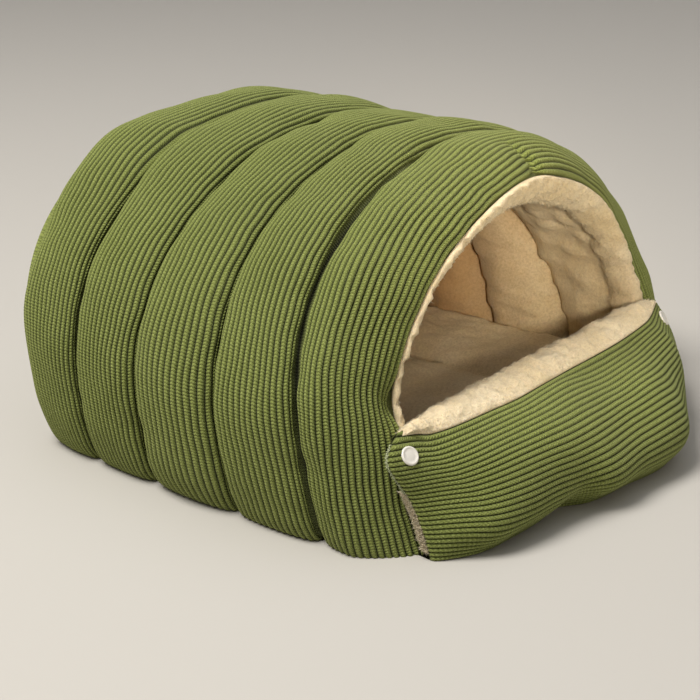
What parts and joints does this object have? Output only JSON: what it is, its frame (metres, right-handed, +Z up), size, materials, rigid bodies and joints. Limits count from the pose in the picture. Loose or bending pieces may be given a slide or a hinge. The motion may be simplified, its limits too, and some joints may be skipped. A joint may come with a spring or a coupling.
{
  "type": "pet bed",
  "caption": "Padded tunnel bed of ribbed knit on a padded base, open at the front over a low snapped flap and lined with plush.",
  "frame": {"origin": "middle of the bed's footprint, on the surface it rests on", "axes": "+Z up, -Y out of the entrance, X across the bed"},
  "size_m": [0.5178, 0.4968, 0.2692],
  "materials": {
    "knit": "ribbed knit",
    "plush": "short plush pile",
    "snap": "satin"
  },
  "bodies": {
    "root": {"tunnel_wall": "knit", "tunnel_lining": "plush", "base_panel": "knit", "base_lining": "plush", "back_panel": "knit", "back_lining": "plush", "snap_cap_left": "snap", "snap_cap_right": "snap", "seam_tail": "knit"}
  },
  "joints": []
}
